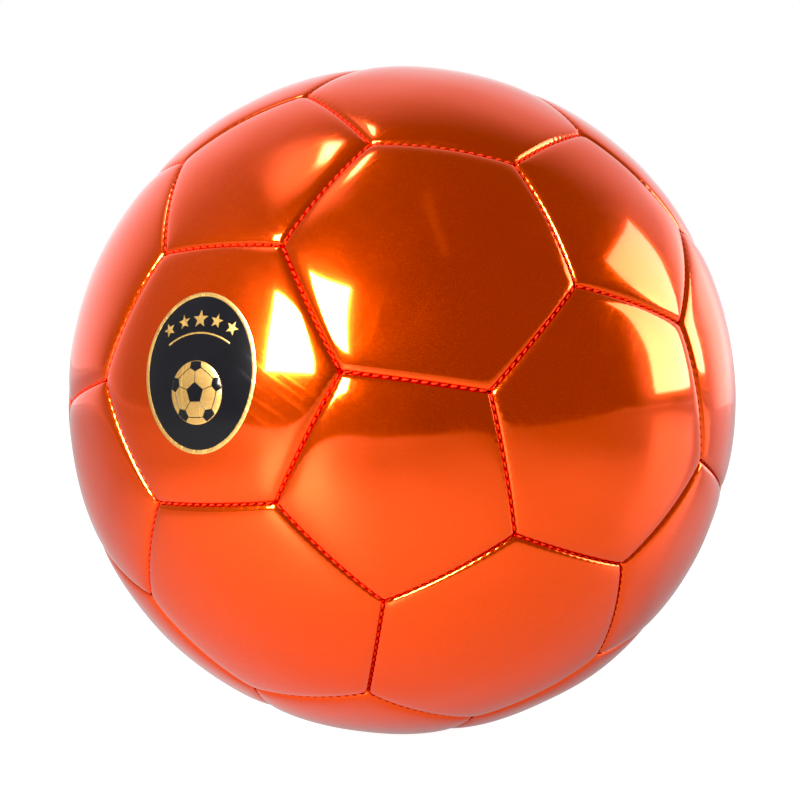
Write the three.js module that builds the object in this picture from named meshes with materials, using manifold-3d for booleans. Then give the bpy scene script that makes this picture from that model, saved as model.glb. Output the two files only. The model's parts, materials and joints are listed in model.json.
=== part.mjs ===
// A size 5 soccer ball of 32 stitched panels over an inflated bladder with a needle valve.
// Millimetres, +Z up, with the origin at the ball's centre.
// Every panel is a bonded laminate of glossy film, foam and cloth. Its rim folds into the ball,
// where it lies back to back with its neighbours' rims, and the stitching runs between them.

import * as THREE from "three";
import { mergeVertices } from "three/addons/utils/BufferGeometryUtils.js";
import Module from "manifold-3d";

const wasm = await Module();
wasm.setup();

// The ball and its panels
const ballRadius = 110; // to the crown of a panel: 691 mm round
const panelThickness = 3.2;
const edgeDrop = 1.0; // how far the crown has fallen where a panel's edge begins to roll in
const rollWidth = 1.1; // the rolled edge, across the seam
const rollDepth = 1.6;
const seamGap = 0.4; // between two folded rims
const foldWidth = 1.8; // a rim's thickness where it is folded in
const foldStand = 3.3; // how far a folded rim stands below the panel's underside
const crownInset = 12; // where a panel's surface leaves the ball's sphere, in from the seam
const clearance = 0.3; // between pieces that touch

// The stitching, laid in the groove of every seam
const threadWidth = 0.9;
const threadHeight = 0.8;

// The bladder and its valve, whose heights are measured along the valve's axis
const bladderThickness = 0.9;
const holeRadius = 4.6; // the valve hole in its panel
const mouthRecess = 1.0; // the valve's mouth, below the crown of its panel
const backingRadius = 12; // the ring that backs the valve hole
const backingThickness = 0.8;
const patchRadius = 20; // the patch that bonds the valve's flange to the bladder
const patchThickness = 0.6;
const flangeRadius = 12.5;
const flangeThickness = 1.0;
const barrelRadius = 5.2; // the valve's housing inside the bladder
const barrelLength = 13;
const barrelFloor = 2; // what closes the barrel below the core
const outletRadius = 1.2; // the air's way through that floor
const coreRadius = 2.6;
const collarRadius = 3.5; // the core's collar, which keeps it in its housing
const collarHeight = 2;
const collarLift = 7; // from the core's lower end to its collar
const needleRadius = 0.9; // the channel that guides an inflating needle
const needleDepth = 11;
const leadInRadius = 1.7;
const leadInDepth = 1.0;

// The printed badge on one hexagon
const badgeWidth = 42;
const badgeHeight = 50;
const badgeThickness = 0.3;
const badgePanel = "hexagon_panel_10";
const badgeTurn = -38.5; // its top, round the panel from the direction of the valve, in degrees

// How the ball lies: where the valve faces, and the ball's turn about the valve's axis, in degrees
const valveAzimuth = 112.2; // from +X towards +Y
const valveElevation = 41.2;
const valveSpin = 81.9;

// How finely the solids are faceted
const stepsPerSide = 3;
const crownSpacing = 14; // between the rings of facets on a panel's outer surface
const undersideSpacing = 15;
const valveSpacing = 9; // finer on the valve's panel, so that the backing lies close under it
const bladderSpacing = 15;
const turnedSegments = 20;
const badgeSegments = 28;

const X = new THREE.Vector3(1, 0, 0);
const Z = new THREE.Vector3(0, 0, 1);
const degrees = THREE.MathUtils.degToRad;

const film = new THREE.MeshStandardMaterial({ color: 0xe8480c, metalness: 0.9, roughness: 0.22 });
const thread = new THREE.MeshStandardMaterial({ color: 0xc22a10, metalness: 0, roughness: 0.6 });
const butyl = new THREE.MeshStandardMaterial({ color: 0x1b1b1c, metalness: 0, roughness: 0.75 });
const valveRubber = new THREE.MeshStandardMaterial({ color: 0x2a2a2c, metalness: 0, roughness: 0.6 });
const backingCloth = new THREE.MeshStandardMaterial({ color: 0xe6e2d8, metalness: 0, roughness: 0.9 });
const badgeFilm = new THREE.MeshStandardMaterial({ color: 0x111113, metalness: 0.2, roughness: 0.35 });

// ---------------------------------------------------------------- the pattern of panels

// On a panel, the direction that leads to the valve, and the one square to it.
function panelAxes(normal) {
  const reference = normal.z > 0.999 ? X : Z;
  const toValve = reference.clone().projectOnPlane(normal).normalize();
  return { toValve, across: normal.clone().cross(toValve) };
}

// An angle from 0 up to a full turn. The sliver keeps a rounding error from making 0 a full turn.
function turnAngle(y, x) {
  const sliver = 1e-6;
  return (Math.atan2(y, x) + 2 * Math.PI + sliver) % (2 * Math.PI);
}

// Things in their order round a normal, anticlockwise from outside the ball.
function sortRound(normal, items, directionOf) {
  const { toValve, across } = panelAxes(normal);
  const angle = (item) => turnAngle(directionOf(item).dot(across), directionOf(item).dot(toValve));
  return items.slice().sort((a, b) => angle(a) - angle(b));
}

// The 12 corners of an icosahedron, turned so that one of its faces has its centre on +Z.
function icosahedronCorners() {
  const golden = (1 + Math.sqrt(5)) / 2;
  const corners = [];
  for (const one of [-1, 1])
    for (const long of [-golden, golden])
      corners.push(
        new THREE.Vector3(0, one, long),
        new THREE.Vector3(one, long, 0),
        new THREE.Vector3(long, 0, one),
      );
  const face = new THREE.Vector3(1, 1, 1).normalize();
  const upright = new THREE.Quaternion().setFromUnitVectors(face, Z);
  for (const corner of corners) corner.normalize().applyQuaternion(upright);
  const nearest = corners.slice().sort((a, b) => b.z - a.z)[0];
  const toX = new THREE.Quaternion().setFromAxisAngle(Z, -Math.atan2(nearest.y, nearest.x));
  return corners.map((corner) => corner.applyQuaternion(toX));
}

// The panels of a truncated icosahedron: { sides, normal, corners } of unit vectors, and the
// 60 junctions that they share. The hexagon with its centre on +Z comes first.
function truncatedIcosahedron() {
  const peaks = icosahedronCorners();
  const spacing = Math.min(...peaks.slice(1).map((p) => p.distanceTo(peaks[0]))) * 1.01;
  const near = (a, b) => a !== b && a.distanceTo(b) < spacing;

  const junctions = [];
  const hexagonNormals = [];
  peaks.forEach((a, i) =>
    peaks.forEach((b, j) => {
      if (!near(a, b)) return;
      junctions.push(a.clone().multiplyScalar(2).add(b).normalize());
      peaks.forEach((c, k) => {
        if (i < j && j < k && near(a, c) && near(b, c))
          hexagonNormals.push(a.clone().add(b).add(c).normalize());
      });
    }),
  );
  const makePanel = (sides) => (normal) => {
    const nearest = junctions.slice().sort((a, b) => b.dot(normal) - a.dot(normal)).slice(0, sides);
    return { sides, normal, corners: sortRound(normal, nearest, (corner) => corner) };
  };
  const fromValve = (a, b) => {
    const drop = Math.round((b.z - a.z) * 1e6);
    return drop || turnAngle(a.y, a.x) - turnAngle(b.y, b.x);
  };
  const hexagons = hexagonNormals.sort(fromValve).map(makePanel(6));
  const pentagons = peaks.slice().sort(fromValve).map(makePanel(5));
  return { hexagons, pentagons, junctions };
}

// ---------------------------------------------------------------- points on and beside the seams

// A panel's outline at one radius, drawn in from its seams by the same distance all round.
// Each side is an arc in a plane parallel to the seam's own plane.
function insetRing({ corners }, inset, radius) {
  const sides = corners.length;
  const walls = corners.map((corner, i) => corner.clone().cross(corners[(i + 1) % sides]).normalize());
  const insetCorners = corners.map((corner, i) => {
    const before = walls[(i + sides - 1) % sides];
    const across = before.clone().add(walls[i]).multiplyScalar(inset / (1 + before.dot(walls[i])));
    const along = Math.sqrt(radius ** 2 - across.lengthSq());
    return across.addScaledVector(corner, along);
  });
  const ring = [];
  insetCorners.forEach((start, i) => {
    const end = insetCorners[(i + 1) % sides];
    for (let step = 0; step < stepsPerSide; step++) {
      const point = start.clone().lerp(end, step / stepsPerSide).projectOnPlane(walls[i]);
      ring.push(point.setLength(Math.sqrt(radius ** 2 - inset ** 2)).addScaledVector(walls[i], inset));
    }
  });
  return ring;
}

// Collects points and faces, and gives them back as one closed geometry.
class Faces {
  positions = [];
  indices = [];

  points(vectors) {
    return vectors.map((v) => this.positions.push(...v.toArray()) / 3 - 1);
  }

  triangle(a, b, c) {
    this.indices.push(a, b, c);
  }

  quad(a, b, c, d) {
    this.indices.push(a, b, c, a, c, d);
  }

  geometry() {
    return new THREE.BufferGeometry()
      .setAttribute("position", new THREE.Float32BufferAttribute(this.positions, 3))
      .setIndex(this.indices);
  }
}

// A closed skin over rings of points that run from one middle point to another, the first above.
function skinOverRings(top, rings, bottom) {
  const faces = new Faces();
  const [first, last] = faces.points([top, bottom]);
  const numbered = rings.map((ring) => faces.points(ring));
  const count = rings[0].length;
  for (let k = 0; k < count; k++) {
    const next = (k + 1) % count;
    faces.triangle(first, numbered[0][k], numbered[0][next]);
    for (let r = 0; r + 1 < numbered.length; r++) {
      const [upper, lower] = [numbered[r], numbered[r + 1]];
      faces.quad(upper[k], lower[k], lower[next], upper[next]);
    }
    faces.triangle(last, numbered.at(-1)[next], numbered.at(-1)[k]);
  }
  return faces.geometry();
}

// ---------------------------------------------------------------- the cover

const edgeRadius = ballRadius - edgeDrop;
const undersideRadius = ballRadius - panelThickness;
const foldRadius = undersideRadius - foldStand;

// Rings on one of a panel's round surfaces, from its middle out to crownInset, no further apart
// than spacing.
function surfaceRings(panel, radius, spacing) {
  const side = panel.corners[0].clone().cross(panel.corners[1]).normalize();
  const reach = radius * panel.normal.dot(side) - crownInset;
  const count = Math.ceil(reach / spacing);
  const insets = Array.from({ length: count }, (_, k) => crownInset + (reach * k) / count);
  return insets.reverse().map((inset) => insetRing(panel, inset, radius));
}

// A panel from its crown, over the rolled edge, down the folded rim and back under the laminate.
function panelGeometry(panel, crownSpacing, undersideSpacing) {
  const ring = (inset, radius) => insetRing(panel, inset, radius);
  const foldFace = seamGap / 2;
  const foldBack = foldFace + foldWidth;
  return skinOverRings(
    panel.normal.clone().multiplyScalar(ballRadius),
    [
      ...surfaceRings(panel, ballRadius, crownSpacing),
      ring(foldFace + rollWidth, edgeRadius),
      ring(foldFace, edgeRadius - rollDepth),
      ring(foldFace, foldRadius),
      ring(foldBack, foldRadius),
      ring(foldBack, undersideRadius),
      ...surfaceRings(panel, undersideRadius, undersideSpacing).reverse(),
    ],
    panel.normal.clone().multiplyScalar(undersideRadius),
  );
}

// One lattice of thread along all 90 seams, which meets itself at the 60 junctions.
function seamThreadGeometry(panels, junctions) {
  const faces = new Faces();
  const top = edgeRadius + 0.1;
  const levels = [top, top - threadHeight];
  const rings = new Map(
    panels.map((panel) => [
      panel,
      levels.map((radius) => faces.points(insetRing(panel, threadWidth / 2, radius))),
    ]),
  );
  const sideStart = (panel, corner) => panel.corners.indexOf(corner) * stepsPerSide;

  for (const panel of panels) {
    const [outer, inner] = rings.get(panel);
    const count = outer.length;
    for (let k = 0; k < count; k++) {
      const next = (k + 1) % count;
      faces.quad(outer[k], outer[next], inner[next], inner[k]);
    }
    panel.corners.forEach((from, i) => {
      const to = panel.corners[(i + 1) % panel.sides];
      const twin = panels.find((p) => p !== panel && p.corners.includes(from) && p.corners.includes(to));
      if (panels.indexOf(twin) < panels.indexOf(panel)) return;
      const [twinOuter, twinInner] = rings.get(twin);
      for (let step = 0; step < stepsPerSide; step++) {
        const near = [step, step + 1].map((s) => (i * stepsPerSide + s) % count);
        const far = [step, step + 1].map(
          (s) => (sideStart(twin, to) + stepsPerSide - s) % twinOuter.length,
        );
        faces.quad(outer[near[0]], twinOuter[far[0]], twinOuter[far[1]], outer[near[1]]);
        faces.quad(inner[near[0]], inner[near[1]], twinInner[far[1]], twinInner[far[0]]);
      }
    });
  }
  for (const junction of junctions) {
    const meeting = panels.filter((panel) => panel.corners.includes(junction));
    const around = sortRound(junction, meeting, (panel) => panel.normal);
    const [outer, inner] = [0, 1].map((level) =>
      around.map((panel) => rings.get(panel)[level][sideStart(panel, junction)]),
    );
    faces.triangle(...outer);
    faces.triangle(...inner.reverse());
  }
  return faces.geometry();
}

// A thin oval on its panel, curved with the ball.
function badgeGeometry(panel) {
  const { toValve, across } = panelAxes(panel.normal);
  const up = toValve.clone().applyAxisAngle(panel.normal, degrees(badgeTurn));
  const right = across.clone().applyAxisAngle(panel.normal, degrees(badgeTurn)).negate();
  const innerRadius = ballRadius + clearance;
  const ovalRing = (share, radius) =>
    Array.from({ length: badgeSegments }, (_, k) => {
      const angle = (2 * Math.PI * k) / badgeSegments;
      return panel.normal
        .clone()
        .multiplyScalar(ballRadius)
        .addScaledVector(right, (share * badgeWidth * Math.cos(angle)) / 2)
        .addScaledVector(up, (share * badgeHeight * Math.sin(angle)) / 2)
        .setLength(radius);
    });
  const outerRadius = innerRadius + badgeThickness;
  return skinOverRings(
    panel.normal.clone().multiplyScalar(outerRadius),
    [
      ovalRing(0.5, outerRadius),
      ovalRing(1, outerRadius),
      ovalRing(1, innerRadius),
      ovalRing(0.5, innerRadius),
    ],
    panel.normal.clone().multiplyScalar(innerRadius),
  );
}

// ---------------------------------------------------------------- the bladder and the valve

const backingTop = undersideRadius - clearance;
const patchTop = backingTop - backingThickness - clearance;
const flangeTop = patchTop - patchThickness - clearance;
const flangeUnder = flangeTop - flangeThickness;
const bladderRadius = Math.min(flangeUnder, foldRadius) - clearance;
const mouthHeight = ballRadius - mouthRecess;
const neckRadius = holeRadius - clearance;
const barrelEnd = flangeUnder - barrelLength;
const coreEnd = barrelEnd + barrelFloor + clearance;
const collarStart = coreEnd + collarLift;

// The height of a sphere's surface at a distance from the valve's axis.
const domeHeight = (sphereRadius, fromAxis) => Math.sqrt(sphereRadius ** 2 - fromAxis ** 2);

// Points along a sphere's surface from one distance off the valve's axis to another.
function domeArc(sphereRadius, from, to, steps) {
  return Array.from({ length: steps + 1 }, (_, k) => {
    const fromAxis = from + ((to - from) * k) / steps;
    return [fromAxis, domeHeight(sphereRadius, fromAxis)];
  });
}

// A solid turned about the valve's axis from [distance from the axis, height] points, which run
// anticlockwise round its section.
function turned(section, segments = turnedSegments) {
  const onAxis = section[0][0] === 0;
  const closed = onAxis ? section : [...section, section[0]];
  const profile = closed.map(([fromAxis, height]) => new THREE.Vector2(fromAxis, height));
  return new THREE.LatheGeometry(profile, segments).rotateX(Math.PI / 2);
}

function bladderGeometry() {
  const polarSteps = Math.ceil((Math.PI * bladderRadius) / bladderSpacing);
  const hole = barrelRadius + clearance;
  const meridian = (radius) => {
    const start = Math.asin(hole / radius);
    return Array.from({ length: polarSteps + 1 }, (_, k) => {
      const angle = start + ((Math.PI - start) * k) / polarSteps;
      const onPole = k === polarSteps;
      return [onPole ? 0 : radius * Math.sin(angle), radius * Math.cos(angle)];
    });
  };
  const section = [...meridian(bladderRadius).reverse(), ...meridian(bladderRadius - bladderThickness)];
  return turned(section, 2 * polarSteps);
}

// The housing: a neck through the panel, a flange over the bladder and a barrel inside it.
function valveHousingGeometry() {
  const bore = coreRadius + clearance;
  const groove = collarRadius + clearance;
  return turned([
    [outletRadius, barrelEnd],
    [barrelRadius, barrelEnd],
    [barrelRadius, domeHeight(flangeUnder, barrelRadius)],
    ...domeArc(flangeUnder, barrelRadius + 1, flangeRadius, 2),
    ...domeArc(flangeTop, flangeRadius, neckRadius, 2),
    [neckRadius, mouthHeight],
    [bore, mouthHeight],
    [bore, collarStart + collarHeight + clearance],
    [groove, collarStart + collarHeight + clearance],
    [groove, collarStart - clearance],
    [bore, collarStart - clearance],
    [bore, coreEnd - clearance],
    [outletRadius, coreEnd - clearance],
  ]);
}

// The core: a soft plug with a collar and a blind channel that a needle pierces.
function valveCoreGeometry() {
  const top = mouthHeight - clearance;
  return turned([
    [0, coreEnd],
    [coreRadius, coreEnd],
    [coreRadius, collarStart],
    [collarRadius, collarStart],
    [collarRadius, collarStart + collarHeight],
    [coreRadius, collarStart + collarHeight],
    [coreRadius, top],
    [leadInRadius, top],
    [needleRadius, top - leadInDepth],
    [needleRadius, top - needleDepth],
    [0, top - needleDepth],
  ]);
}

// The patch: it lies on the flange, steps down round it and is bonded to the bladder outside it.
function valvePatchGeometry() {
  const step = flangeRadius + clearance;
  const rim = step + patchThickness;
  const low = bladderRadius + clearance;
  const under = flangeTop + clearance;
  return turned([
    ...domeArc(under, neckRadius + clearance, step, 3),
    ...domeArc(low, step, patchRadius, 2),
    ...domeArc(low + patchThickness, patchRadius, rim, 2),
    ...domeArc(patchTop, rim, neckRadius + clearance, 3),
  ]);
}

function valveHoleBackingGeometry() {
  return turned([
    ...domeArc(backingTop - backingThickness, holeRadius, backingRadius, 2),
    ...domeArc(backingTop, backingRadius, holeRadius, 2),
  ]);
}

// ---------------------------------------------------------------- cutting the valve hole

function toSolid(geometry) {
  const bare = geometry.clone().deleteAttribute("normal").deleteAttribute("uv");
  const merged = mergeVertices(bare, 1e-4);
  return new wasm.Manifold(
    new wasm.Mesh({
      numProp: 3,
      vertProperties: new Float32Array(merged.attributes.position.array),
      triVerts: new Uint32Array(merged.index.array),
    }),
  );
}

function toGeometry(solid) {
  const { vertProperties, triVerts } = solid.getMesh();
  return new THREE.BufferGeometry()
    .setAttribute("position", new THREE.BufferAttribute(vertProperties, 3))
    .setIndex(new THREE.BufferAttribute(triVerts, 1));
}

function withValveHole(geometry) {
  const drill = new THREE.CylinderGeometry(holeRadius, holeRadius, 4 * panelThickness, turnedSegments)
    .rotateX(Math.PI / 2)
    .translate(0, 0, ballRadius);
  return toGeometry(toSolid(geometry).subtract(toSolid(drill)));
}

// ---------------------------------------------------------------- the assembly

const pieces = new THREE.Group();

function add(name, geometry, material) {
  const mesh = new THREE.Mesh(geometry, material);
  mesh.name = name;
  pieces.add(mesh);
}

const { hexagons, pentagons, junctions } = truncatedIcosahedron();
const numbered = (kind, k) => `${kind}_panel_${String(k).padStart(2, "0")}`;
const [valvePanel, ...plainHexagons] = hexagons;

add("valve_panel", withValveHole(panelGeometry(valvePanel, valveSpacing, valveSpacing)), film);
plainHexagons.forEach((panel, k) => {
  const name = numbered("hexagon", k + 1);
  add(name, panelGeometry(panel, crownSpacing, undersideSpacing), film);
  if (name === badgePanel) add("badge", badgeGeometry(panel), badgeFilm);
});
pentagons.forEach((panel, k) => {
  add(numbered("pentagon", k + 1), panelGeometry(panel, crownSpacing, undersideSpacing), film);
});
add("seam_thread", seamThreadGeometry([...hexagons, ...pentagons], junctions), thread);
add("valve_hole_backing", valveHoleBackingGeometry(), backingCloth);
add("valve_patch", valvePatchGeometry(), butyl);
add("valve_housing", valveHousingGeometry(), valveRubber);
add("valve_core", valveCoreGeometry(), valveRubber);
add("bladder", bladderGeometry(), butyl);

pieces.rotation.z = degrees(valveSpin);
const ball = new THREE.Group();
ball.add(pieces);
ball.rotation.set(0, degrees(90 - valveElevation), degrees(valveAzimuth), "ZYX");

export default ball;
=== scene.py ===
import json
import math

import bpy
import numpy as np
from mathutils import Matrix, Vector


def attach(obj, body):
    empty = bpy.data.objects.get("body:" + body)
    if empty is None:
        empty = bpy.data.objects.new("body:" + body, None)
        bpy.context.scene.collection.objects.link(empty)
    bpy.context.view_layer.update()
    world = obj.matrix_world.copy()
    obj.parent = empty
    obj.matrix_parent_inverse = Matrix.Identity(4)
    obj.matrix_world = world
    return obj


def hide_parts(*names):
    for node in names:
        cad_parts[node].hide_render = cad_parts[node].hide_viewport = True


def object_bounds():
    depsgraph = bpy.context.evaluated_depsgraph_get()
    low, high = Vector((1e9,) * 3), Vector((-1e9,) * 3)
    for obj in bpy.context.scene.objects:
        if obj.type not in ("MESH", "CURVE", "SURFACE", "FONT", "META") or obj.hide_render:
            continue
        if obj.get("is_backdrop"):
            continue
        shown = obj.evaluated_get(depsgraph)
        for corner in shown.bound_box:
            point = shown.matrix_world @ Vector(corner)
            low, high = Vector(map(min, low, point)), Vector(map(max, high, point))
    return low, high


bl_info = {
    "name": "Stitched Soccer Ball",
    "version": (1, 0, 0),
    "blender": (4, 5, 0),
    "location": "3D View > Sidebar > Soccer Ball",
    "description": "Builds a glossy stitched soccer ball, its badge, its valve and a small studio",
    "category": "Add Mesh",
}

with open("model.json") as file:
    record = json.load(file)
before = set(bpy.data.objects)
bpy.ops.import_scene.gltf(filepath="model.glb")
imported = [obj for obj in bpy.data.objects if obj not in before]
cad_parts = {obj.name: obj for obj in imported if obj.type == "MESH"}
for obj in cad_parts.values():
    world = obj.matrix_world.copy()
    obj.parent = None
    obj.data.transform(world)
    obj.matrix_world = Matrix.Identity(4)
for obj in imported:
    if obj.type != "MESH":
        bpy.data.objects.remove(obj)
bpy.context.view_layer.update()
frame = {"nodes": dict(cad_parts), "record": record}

MM = 0.001  # lengths are in metres in the scene, and in millimetres in the shapes below
BALL_RADIUS = 110.0  # to the crown of a panel


# ---- sizes and colours


def amount(name, description, default, **limits):
    """A property that holds a number."""
    return bpy.props.FloatProperty(name=name, description=description, default=default, **limits)


def length(name, description, default):
    """A property that holds a length in millimetres."""
    return amount(name, description + ", in mm", default, min=0.0, precision=3)


def colour(name, description, default):
    """A property that holds a colour."""
    return bpy.props.FloatVectorProperty(
        name=name, description=description, default=default, size=3, subtype="COLOR", min=0, max=1
    )


class BALL_PG_cover(bpy.types.PropertyGroup):
    """Sizes of the panels and of the stitching between them."""

    shoulder_drop: length("Shoulder drop", "How far a panel falls towards its seam", 0.85)
    shoulder_reach: length("Shoulder reach", "How far from the seam that fall fades", 5.0)
    edge_drop: length("Edge drop", "How far a panel's edge falls into the groove", 1.15)
    edge_reach: length("Edge reach", "How far from the seam the edge fades", 0.9)
    lip_drop: length("Lip drop", "How far the last of the edge turns down", 0.4)
    lip_reach: length("Lip reach", "How far from the seam the lip fades", 0.22)
    seam_gap: length("Seam gap", "Space between two folded rims", 0.1)
    thickness: length("Panel thickness", "Film, foam and cloth together", 3.2)
    fold_width: length("Fold width", "Thickness of the rim that is folded in", 1.8)
    fold_radius: length("Fold radius", "From the ball's centre to the end of a folded rim", 103.5)
    tuck: length("Tuck", "How far each stitch draws the panel's edge in", 0.07)
    tuck_reach: length("Tuck reach", "How far from the seam the tucks fade", 0.9)
    ripple: amount("Ripple", "Slope of the long ripples in the film", 0.007, min=0)
    stitch_pitch: length("Stitch pitch", "From one stitch to the next", 2.9)
    stitch_length: length("Stitch length", "Length of the thread that shows", 2.6)
    stitch_width: length("Stitch width", "Width of the thread that shows", 0.74)
    stitch_height: length("Stitch height", "Thickness of the thread", 0.5)
    stitch_dive: length("Stitch dive", "How far a stitch's ends go down into the seam", 0.62)
    stitches: bpy.props.IntProperty(
        name="Stitches", description="Stitches on each side of a seam's middle", default=7, min=1
    )


class BALL_PG_badge(bpy.types.PropertyGroup):
    """Sizes of the badge, which is printed on a film of its own."""

    film: length("Badge film", "Thickness of the badge's film", 0.12)
    rim_width: length("Rim width", "Width of the gold rim", 1.3)
    rim_height: length("Rim height", "How far the rim stands above the field", 0.16)
    ball_radius: length("Ball radius", "Radius of the gold ball", 9.5)
    ball_dome: length("Ball dome", "How far the gold ball's middle stands out", 0.6)
    ball_centre: amount("Ball centre", "Height of the gold ball on the badge, in mm", -6.0)
    line_width: length("Line width", "Width of the lines on the gold ball", 0.55)
    star_radius: length("Star radius", "Radius of a gold star", 2.3)


class BALL_PG_valve(bpy.types.PropertyGroup):
    """Sizes of the needle valve. Depths are from its mouth into the ball."""

    hole_radius: length("Hole radius", "Radius of the hole in the panel", 4.6)
    neck_radius: length("Neck radius", "Radius of the housing's neck", 4.3)
    bore_radius: length("Bore radius", "Radius of the housing's bore", 2.9)
    core_radius: length("Core radius", "Radius of the core", 2.6)
    needle_radius: length("Needle radius", "Radius of the needle's channel", 0.9)
    needle_depth: length("Needle depth", "Depth of the needle's channel", 11.0)
    flange_radius: length("Flange radius", "Radius of the flange over the bladder", 12.5)
    flange_depth: length("Flange depth", "Depth of the flange's outer face", 4.2)
    flange_thickness: length("Flange thickness", "Thickness of the flange", 1.0)
    barrel_radius: length("Barrel radius", "Radius of the barrel inside the bladder", 5.2)
    length: length("Length", "Length of the whole housing", 18.3)


class BALL_PG_colours(bpy.types.PropertyGroup):
    """Colours of the ball, as linear values."""

    film: colour("Film", "Metallic film on the panels", (0.95, 0.086, 0.005))
    film_edge: colour("Film edge", "Tint of the film's gloss at grazing angles", (1.0, 0.7, 0.7))
    thread: colour("Thread", "Stitching", (0.32, 0.022, 0.009))
    cloth: colour("Cloth", "Cloth behind the panels", (0.72, 0.69, 0.61))
    field: colour("Badge field", "Ground of the badge", (0.004, 0.004, 0.005))
    gold: colour("Gold", "Rim, ball and stars of the badge", (0.83, 0.5, 0.16))
    butyl: colour("Butyl", "Bladder and patch", (0.018, 0.018, 0.02))
    rubber: colour("Valve rubber", "Housing and core of the valve", (0.03, 0.03, 0.033))
    floor: colour("Floor", "Floor of the studio", (0.16, 0.16, 0.16))


class BALL_PG_studio(bpy.types.PropertyGroup):
    """The camera, the softboxes and what the film reflects between them."""

    camera_distance: amount("Camera distance", "To the ball's centre", 0.8, unit="LENGTH")
    camera_elevation: amount("Camera elevation", "Above level", math.radians(4), subtype="ANGLE")
    lens: amount("Lens", "Focal length, in mm", 108.4)
    shift: amount("Shift", "Sideways shift of the picture, as a share of its width", -0.002)
    black_level: amount("Black level", "Brightness that is shown as black", 0.014, min=0)
    backdrop: amount("Backdrop", "Brightness that the wall behind the ball adds", 0.58, min=0)
    room: amount("Room", "Brightness of the dark side of the room", 0.33, min=0)
    room_left: amount("Room at left", "Brightness that the room's left side adds", 0.22, min=0)
    floor_glow: amount("Floor glow", "Evenly spread brightness of the floor", 0.22, min=0)
    fill: amount("Fill", "Brightness of the soft light from all sides", 1.1, min=0)


# ---- the pattern of panels


def unit(vectors):
    """The vectors, each at length 1."""
    vectors = np.asarray(vectors, float)
    return vectors / np.linalg.norm(vectors, axis=-1, keepdims=True)


def node_points(name):
    """A frame node's vertices, in millimetres."""
    return np.array([v.co for v in frame["nodes"][name].data.vertices], float) / MM


def node_direction(name):
    """Where a frame node lies, as a direction from the ball's centre."""
    return unit(np.unique(node_points(name).round(3), axis=0).mean(axis=0))


def tangents(middle):
    """Two directions square to each other and to the middle."""
    first = unit(np.cross(middle, (0.0, 0.0, 1.0) if abs(middle[2]) < 0.9 else (1.0, 0.0, 0.0)))
    return first, np.cross(middle, first)


def fall_at(cover, away):
    """How far the film has fallen at some distance from one seam."""
    return (
        cover.shoulder_drop * np.exp(-away / cover.shoulder_reach)
        + cover.edge_drop * np.exp(-away / cover.edge_reach)
        + cover.lip_drop * np.exp(-away / cover.lip_reach)
    )


class Panel:
    """One panel's outline on the ball, and the height of its film over every point of it."""

    def __init__(self, name, middle, corners, cover, seed):
        first, second = tangents(middle)
        order = np.argsort(np.arctan2(corners @ second, corners @ first))
        self.name = name
        self.middle = middle
        self.cover = cover
        self.corners = corners[order]
        following = np.roll(self.corners, -1, axis=0)
        self.walls = unit(np.cross(self.corners, following))
        self.mids = unit(self.corners + following)
        self.along = np.cross(self.walls, self.mids)
        chance = np.random.default_rng(seed)
        waves = 9
        self.wavelengths = chance.uniform(14.0, 46.0, waves)
        self.headings = unit(chance.normal(size=(waves, 3)))
        self.phases = chance.uniform(0.0, 2 * math.pi, waves)

    def heights(self, directions):
        """From the ball's centre to the film, in each direction."""
        c = self.cover
        away = BALL_RADIUS * np.arcsin(np.clip(directions @ self.walls.T, -1, 1))
        rounding = 2.5  # how softly the falls of two sides join at a corner
        drop = (fall_at(c, away) ** rounding).sum(axis=1) ** (1 / rounding)
        along = BALL_RADIUS * np.arctan2(directions @ self.along.T, directions @ self.mids.T)
        last_stitch = c.stitch_pitch * (c.stitches + 0.5)
        fade = 0.3  # of the tucks, past the last stitch
        stitched = 1 / (1 + np.exp((np.abs(along) - last_stitch) / fade))
        tuck = c.tuck * np.cos(2 * math.pi * along / c.stitch_pitch) * stitched
        tucks = (tuck * np.exp(-away / c.tuck_reach)).sum(axis=1)
        turns = 2 * math.pi / self.wavelengths
        waves = np.sin(BALL_RADIUS * directions @ (self.headings.T * turns) + self.phases)
        calm = 4.0  # how far from a seam the ripples die down
        ripples = (waves * c.ripple / turns).sum(axis=1) * (1 - np.exp(-away.min(axis=1) / calm))
        return BALL_RADIUS - drop - tucks + ripples

    def outline(self, inset, per_side):
        """Directions round the panel, some way in from its seams, per_side on each side."""
        lean = inset / BALL_RADIUS
        before = np.roll(self.walls, 1, axis=0)
        spread = (1 + (before * self.walls).sum(axis=1))[:, None]
        across = (before + self.walls) * lean / spread
        starts = across + self.corners * np.sqrt(1 - (across**2).sum(axis=1))[:, None]
        ends = np.roll(starts, -1, axis=0)
        share = (np.arange(per_side) / per_side)[None, :, None]
        points = starts[:, None] * (1 - share) + ends[:, None] * share
        walls = self.walls[:, None]
        points = points - walls * (points * walls).sum(axis=2, keepdims=True)
        points = unit(points) * math.sqrt(1 - lean**2) + walls * lean
        return points.reshape(-1, 3)


def make_panels(cover):
    """The panels of the frame. Pentagons lie at an icosahedron's corners and give the rest."""
    names = sorted(n for n in frame["nodes"] if n.endswith("_panel") or "_panel_" in n)
    pentagons = [n for n in names if n.startswith("pentagon")]
    peaks = np.array([node_direction(n) for n in pentagons])
    near = math.cos(math.radians(70))  # neighbouring corners are 63.4 degrees apart
    pairs = [(a, b) for a in range(12) for b in range(12) if a != b and peaks[a] @ peaks[b] > near]
    junctions = unit([2 * peaks[a] + peaks[b] for a, b in pairs])
    panels = []
    for seed, name in enumerate(names):
        sides = 5 if name in pentagons else 6
        nearest = np.argsort(-(junctions @ node_direction(name)))[:sides]
        corners = junctions[nearest]
        panels.append(Panel(name, unit(corners.sum(axis=0)), corners, cover, seed))
    return panels


# ---- meshes


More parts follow.
